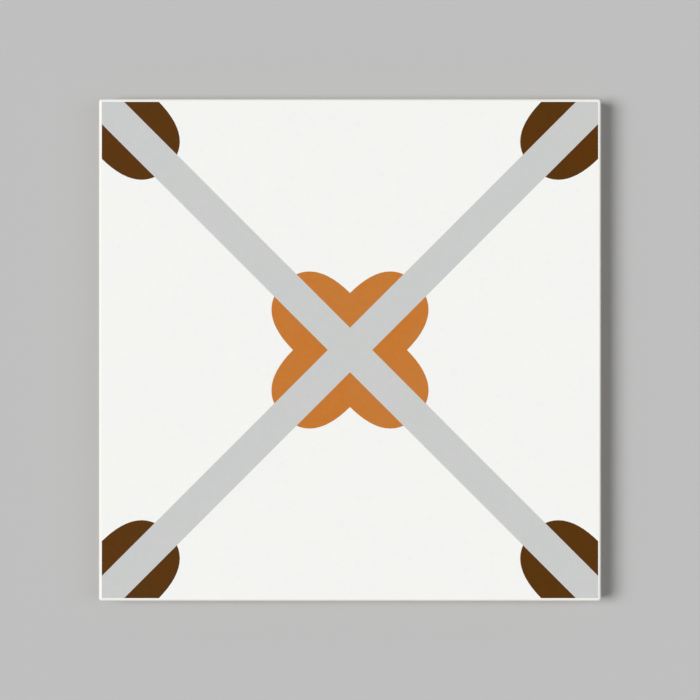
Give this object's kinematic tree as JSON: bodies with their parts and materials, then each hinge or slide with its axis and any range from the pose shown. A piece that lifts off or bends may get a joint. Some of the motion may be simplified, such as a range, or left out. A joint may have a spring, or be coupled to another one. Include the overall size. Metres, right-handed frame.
{
  "type": "floor tile",
  "caption": "Square glazed porcelain floor tile with a diagonal lattice and petal print, a rounded face edge, a tapered back edge and a ribbed back for adhesive.",
  "frame": {"origin": "middle of the back, on the plane of its ribs, which is the plane that the tile lies on", "axes": "+Z out of the glazed face, +X and +Y along two edges of the tile"},
  "size_m": [0.2, 0.2, 0.009],
  "materials": {
    "glazed_porcelain": "satin"
  },
  "bodies": {
    "root": {"floor_tile": "glazed_porcelain"}
  },
  "joints": []
}
